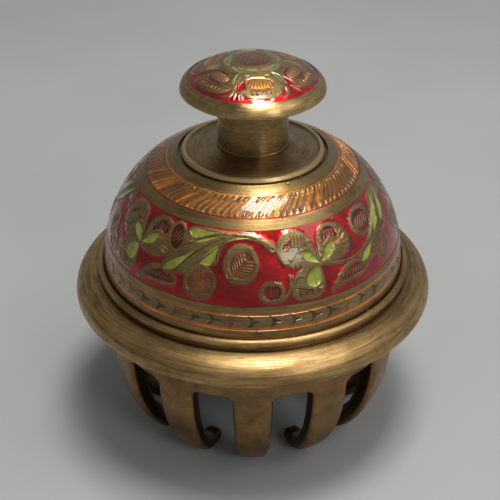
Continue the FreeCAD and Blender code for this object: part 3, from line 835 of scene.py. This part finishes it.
def scroll_band():
    """Wide and narrow sprays in turn, each followed by the flower of three petals."""
    profile = Profile("scroll_band_enamel")
    width = FULL_TURN * PER_DEGREE
    starts = [-UNIT_SPAN, 0.0, UNIT_SPAN, UNIT_SPAN + BACK_SPAN, UNIT_SPAN + 2 * BACK_SPAN]
    spans = [UNIT_SPAN, UNIT_SPAN, BACK_SPAN, BACK_SPAN, BACK_SPAN]
    sprays = [spray_narrow, spray_wide, spray_narrow, spray_wide, spray_wide]
    d = Drawing()
    for k, (start, span) in enumerate(zip(starts, spans)):
        unit = Drawing()
        follows = sprays[(k + 1) % len(sprays)]
        (link_long if follows is spray_narrow else link_short)(unit)
        three_petals(unit)
        small_bud(unit)
        wobble = 0.0 if start == 0 else 0.12
        d.stamp(unit, start * PER_DEGREE, span / UNIT_SPAN, wobble, seed=k)
    for k, (start, span) in enumerate(zip(starts, [BACK_SPAN] + spans[:-1])):
        unit = Drawing()
        sprays[k](unit)
        wobble = 0.0 if start == 0 else 0.12
        d.stamp(unit, start * PER_DEGREE, span / UNIT_SPAN, wobble, seed=20 + k)
    border = band_border(width, profile.length)
    return relief("scroll_band_relief", d, wrap_band(profile, PER_DEGREE), border, 1.2, GROUND, "red", width)


def strip(width, low, high, step=0.8):
    """Line of even width along a whole band, running on past both of its ends."""
    reach = width / 2 + 2
    xs = np.linspace(-reach, reach, int(2 * reach / step))
    lower, upper = np.full(len(xs), low), np.full(len(xs), high)
    return np.vstack([np.stack([xs, lower], 1), np.stack([xs[::-1], upper], 1)])


def band_border(width, height, step=1.1):
    count = int(width / step)
    rows = max(2, int(height / step))
    xs = np.linspace(-width / 2, width / 2, count + 1)
    ys = np.linspace(0, height, rows + 1)
    return np.array([(x, 0.0) for x in xs[:-1]] + [(xs[-1], y) for y in ys[:-1]]
                    + [(x, height) for x in xs[:0:-1]] + [(xs[0], y) for y in ys[:0:-1]])


# --- Hatch band and leaf-chain band -----------------------------------
def hatch_band():
    profile = Profile("hatch_band_lacquer")
    per_degree = 0.40
    width = FULL_TURN * per_degree
    high = profile.length
    d = Drawing()
    rng = random.Random(3)
    strokes = 100
    pitch = width / strokes
    for k in range(strokes):
        x = k * pitch - width / 2 + rng.uniform(-0.15, 0.15)
        lean = 4.0 + rng.uniform(-0.3, 0.3)
        low, top = 0.55 + rng.uniform(0, 0.2), high - 0.45 - rng.uniform(0, 0.3)
        mid = (x + lean * 0.42, (low + top) / 2)
        wide = rng.uniform(0.56, 0.80)
        d.cut(ribbon([(x, low), mid, (x + lean, top)], [wide, wide * 0.85, wide * 0.4], per=4),
              "amber" if rng.random() < 0.35 else "umber")
    d.cut(strip(width, -1, 0.30), "red")
    d.cut(strip(width, high - 0.26, high + 1), "amber")
    border = band_border(width, high, 0.9)
    return relief("hatch_band_relief", d, wrap_band(profile, per_degree), border, 1.0, BRASS, "gilt", width)


def leaf_chain_band():
    profile = Profile("leaf_band_lacquer")
    per_degree = 0.645
    width = FULL_TURN * per_degree
    high = profile.length
    d = Drawing()
    rng = random.Random(8)
    cells = 50
    pitch = width / cells
    low, top = 1.05, high - 0.50
    mid = (low + top) / 2
    for k in range(cells):
        x = k * pitch - width / 2 + rng.uniform(-0.2, 0.2)
        paint = ("umber", "groove", "groove")[k % 3]
        d.cut(ribbon([(x - 0.85, low), (x - 0.05, low + 0.7), (x + 0.15, mid), (x - 0.05, top - 0.7),
                      (x - 0.85, top)], [0.34, 0.66, 0.68, 0.66, 0.34], per=4), paint)
        reach = rng.uniform(1.9, 2.7)
        d.cut(ribbon([(x + 0.1, mid + rng.uniform(-0.1, 0.1)), (x + 0.5 * reach, mid),
                      (x + reach, mid + rng.uniform(-0.2, 0.2))], [1.15, 0.66, 0.08], per=4), paint)
    d.cut(strip(width, 0.10, 0.84), "amber")
    d.cut(strip(width, high - 0.44, high + 1), "amber")
    border = band_border(width, high, 1.0)
    return relief("leaf_band_relief", d, wrap_band(profile, per_degree), border, 1.1, BRASS, "worn", width)


# --- Cap --------------------------------------------------------------
def cap_flower():
    """Six lobes round a hatched oval; the red ground shows between them and near the rim."""
    profile = Profile("cap_enamel")
    edge = profile.rz[:, 0].max()
    lobes = [60.0 * k + 12 for k in range(6)]
    d = Drawing()

    def polar(r, a):
        return (r * math.sin(math.radians(a)), -r * math.cos(math.radians(a)))
    for k, a in enumerate(lobes):
        b = a + 30
        d.plate(ribbon([polar(9.0, b - 9), polar(11.8, b - 4), polar(13.6, b - 6), polar(14.4, b - 13)],
                       [0.9, 1.0, 0.8, 0.3]))
        d.plate(ribbon([polar(9.0, b + 6), polar(12.0, b + 4), polar(14.2, b + 8)], [0.8, 0.9, 0.3]))
        if k % 2:
            for turn in (-3, 0, 3):
                d.plate(leaf(polar(14.4, b + 1.7 * turn), polar(11.8, b + 0.6 * turn), 0.8, 0.5))
    for a in lobes:
        d.plate(smooth([polar(4.5, a - 30), polar(8.4, a - 31), polar(11.6, a - 29), polar(13.6, a - 20),
                        polar(14.3, a - 3), polar(13.8, a + 14), polar(12.0, a + 25), polar(8.6, a + 30),
                        polar(5.0, a + 30)]))
    for k, a in enumerate(lobes):
        lacquer, strokes = (("amber", "dark_red"), ("dark_red", "amber"))[k % 2]
        d.cut(ribbon([polar(7.8, a - 22), polar(7.5, a - 6), polar(7.9, a + 14)],
                     [0.12, 0.34, 0.12]), "umber")
        d.pocket(smooth([polar(8.6, a - 19), polar(9.6, a - 22), polar(11.2, a - 17), polar(11.9, a - 4),
                         polar(11.4, a + 8), polar(9.9, a + 15), polar(8.5, a + 5)]), lacquer)
        for j in range(9):
            turn = a - 17 + 3.6 * j
            d.bar([polar(8.7, turn + 3), polar(9.9, turn), polar(11.2, turn - 1)], [0.16, 0.46, 0.16])
        for j in range(6):
            turn = a - 14 + 5.0 * j
            d.cut(ribbon([polar(12.3, turn + 1), polar(13.1, turn)], [0.26, 0.14]), strokes)
        d.cut(ribbon([polar(12.2, a - 15), polar(12.35, a - 2), polar(11.7, a + 11)], [0.1, 0.24, 0.1]))
    for a in lobes:
        b = a + 30
        d.add(leaf(polar(8.6, b + 2), polar(12.4, b + 4), 1.7, 0.7, 0.3), GROUND, "red")
        d.plate(leaf(polar(6.0, b - 9), polar(11.4, b - 5), 2.9, 0.62, 0.3))
        d.pocket(leaf(polar(6.6, b - 8), polar(10.9, b - 5), 2.0, 0.62, 0.3), "olive")
        d.cut(ribbon([polar(6.4, b - 9), polar(8.6, b - 7), polar(10.6, b - 5)], [0.08, 0.2, 0.08]))
    d.plate(oval((0, 0), 7.3, 7.1, count=48))
    for k in range(5):
        a = 72.0 * k + 20
        line = [polar(5.9, a + 60 * t / 4) for t in range(5)]
        d.pocket(ribbon(line, [0.5, 1.5, 1.8, 1.4, 0.4]), "olive")
        d.cut(ribbon([polar(5.7, a + 8), polar(5.9, a + 30), polar(5.7, a + 54)], [0.08, 0.22, 0.08]))
    d.plate(oval((0, 0), 4.9, 4.5, count=40))
    d.pocket(oval((0, 0), 4.1, 3.7, count=36), "dark_red")
    for k in range(-7, 8):
        x = 0.52 * k
        half = 0.86 * 3.7 * math.sqrt(1 - (x / 4.1) ** 2)
        d.bar([(x - 0.25 * half, -half), (x + 0.2 * math.sin(3.0 * k), 0.0), (x + 0.25 * half, half)],
              [0.1, 0.34, 0.1])
    border = oval((0, 0), edge, edge, count=110)
    return relief("cap_relief", d, wrap_cap(profile), border, 0.9, GROUND, "red")


for obj, node, slot in ((scroll_band(), "scroll_band_enamel", "red_enamel"),
                        (hatch_band(), "hatch_band_lacquer", "amber_lacquer"),
                        (leaf_chain_band(), "leaf_band_lacquer", "amber_lacquer"),
                        (cap_flower(), "cap_enamel", "red_enamel")):
    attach(obj, "bell")
    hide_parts(node)

# --- Finishes of the CAD nodes ----------------------------------------
AGED = dict(bright=(0.50, 0.32, 0.125), dull=(0.31, 0.18, 0.068), dark=(0.095, 0.052, 0.022))
RIM = brass("rim_brass", rough=(0.32, 0.52), lines=0.55, spin=0.6, coat=0.15, streaks=0.55,
            cast=(0.0355, 0.0369), marks=0.8, **AGED)
DOME = brass("dome_brass", (0.33, 0.215, 0.075), KHAKI["dull"], KHAKI["dark"], coat=0.4, lines=0.3, spin=0.5,
             rough=(0.28, 0.44), marks=0.4)
DISC = brass("disc_brass", (0.38, 0.27, 0.14), (0.28, 0.19, 0.10), (0.12, 0.08, 0.043), lines=0.5, spin=0.5,
             edge=0.0162, occlusion_shade=0.3, rough=(0.30, 0.46), marks=0.6)
# Its neck is darkened below the cap as painted shade
KNOB = brass("knob_brass", (0.60, 0.41, 0.175), (0.38, 0.24, 0.095), AGED["dark"], lines=0.4, spin=0.9,
             streaks=0.4, rough=(0.27, 0.38), shade=(0.0898, 0.0912), marks=0.4)
HANGER = steel("hanger_steel", (0.36, 0.34, 0.31), (0.20, 0.18, 0.15), 0.35)
WIRE = steel("wire_steel", (0.25, 0.23, 0.20), (0.12, 0.10, 0.08), 0.4)
IRON = iron("clapper_iron")
FINISH = {"rim_flange": RIM, "bell_dome": DOME, "crown_disc": DISC, "handle_knob": KNOB,
          "hanger_bolt": HANGER, "hanger_washer": HANGER, "hanger_nut": HANGER,
          "clapper_link": WIRE, "clapper_rod": WIRE, "clapper_ball": IRON}
for node, obj in frame["nodes"].items():
    material = FINISH.get(node, RIM)
    if obj.hide_render:
        continue
    if not obj.material_slots:
        obj.data.materials.append(material)
    for material_slot in obj.material_slots:
        material_slot.material = material


# --- Floor, light and camera ------------------------------------------
WORLD_LEFT, WORLD_RIGHT = 0.19, 0.47
WORLD_COLOUR = (0.95, 0.98, 1.0, 1)
CAMERA_LENS = 83.95
CAMERA_PLACE = (-0.00068, -0.2500, 0.2051)
CAMERA_DOWN = 32.38        # degrees below level


def floor():
    """Flat disc in three rings round its centre."""
    count, radii = 64, (0.3, 1.0, 3.0)
    ground = CAD_BOX[0].z
    turns = [2 * math.pi * k / count for k in range(count)]
    points = [(0, 0, ground)] + [(r * math.cos(t), r * math.sin(t), ground) for r in radii for t in turns]
    faces = [(0, 1 + k, 1 + (k + 1) % count) for k in range(count)]
    for j in range(len(radii) - 1):
        a, b = 1 + j * count, 1 + (j + 1) * count
        faces += [(a + k, b + k, b + (k + 1) % count, a + (k + 1) % count) for k in range(count)]
    mesh = bpy.data.meshes.new("floor")
    mesh.from_pydata(points, [], faces)
    mesh.materials.append(cloth("floor_cloth"))
    obj = bpy.data.objects.new("floor", mesh)
    bpy.context.scene.collection.objects.link(obj)


def softbox(name, azimuth, elevation, distance, size, power, colour=(1, 1, 1)):
    """Square light that faces the bell; azimuth 0 is the camera's side and 90 is +X."""
    a, e = math.radians(azimuth), math.radians(elevation)
    away = Vector((math.sin(a) * math.cos(e), -math.cos(a) * math.cos(e), math.sin(e)))
    middle = (CAD_BOX[0] + CAD_BOX[1]) / 2
    data = bpy.data.lights.new(name, "AREA")
    data.shape = "RECTANGLE"
    data.size, data.size_y = size
    data.energy = power
    data.color = colour
    obj = bpy.data.objects.new(name, data)
    obj.location = middle + away * distance
    obj.rotation_euler = away.to_track_quat("Z", "Y").to_euler()
    bpy.context.scene.collection.objects.link(obj)


def world():
    """Even pale light, weaker on the left."""
    w = bpy.data.worlds.new("studio")
    w.use_nodes = True
    tree = w.node_tree
    place = tree.nodes.new("ShaderNodeTexCoord")
    split = tree.nodes.new("ShaderNodeSeparateXYZ")
    tree.links.new(place.outputs["Generated"], split.inputs[0])
    side = tree.nodes.new("ShaderNodeMapRange")
    side.inputs[1].default_value, side.inputs[2].default_value = -1.0, 1.0
    side.inputs[3].default_value, side.inputs[4].default_value = WORLD_LEFT, WORLD_RIGHT
    tree.links.new(split.outputs["X"], side.inputs[0])
    tree.nodes["Background"].inputs["Color"].default_value = WORLD_COLOUR
    tree.links.new(side.outputs[0], tree.nodes["Background"].inputs["Strength"])
    bpy.context.scene.world = w


def camera():
    data = bpy.data.cameras.new("camera")
    data.lens = CAMERA_LENS
    data.sensor_width = 36.0
    data.clip_start = 0.01
    obj = bpy.data.objects.new("camera", data)
    obj.location = CAMERA_PLACE
    obj.rotation_euler = (math.radians(90 - CAMERA_DOWN), 0, 0)
    bpy.context.scene.collection.objects.link(obj)
    bpy.context.scene.camera = obj


floor()
world()
softbox("overhead", 60, 83, 0.60, (0.24, 0.18), 3.2)
softbox("window", 35, 33, 1.50, (0.42, 0.34), 3.6, (0.94, 0.97, 1.0))
softbox("side", 75, 50, 1.50, (0.66, 0.80), 3.2, (1.0, 0.97, 0.92))
camera()
bpy.context.scene.view_settings.view_transform = "Standard"
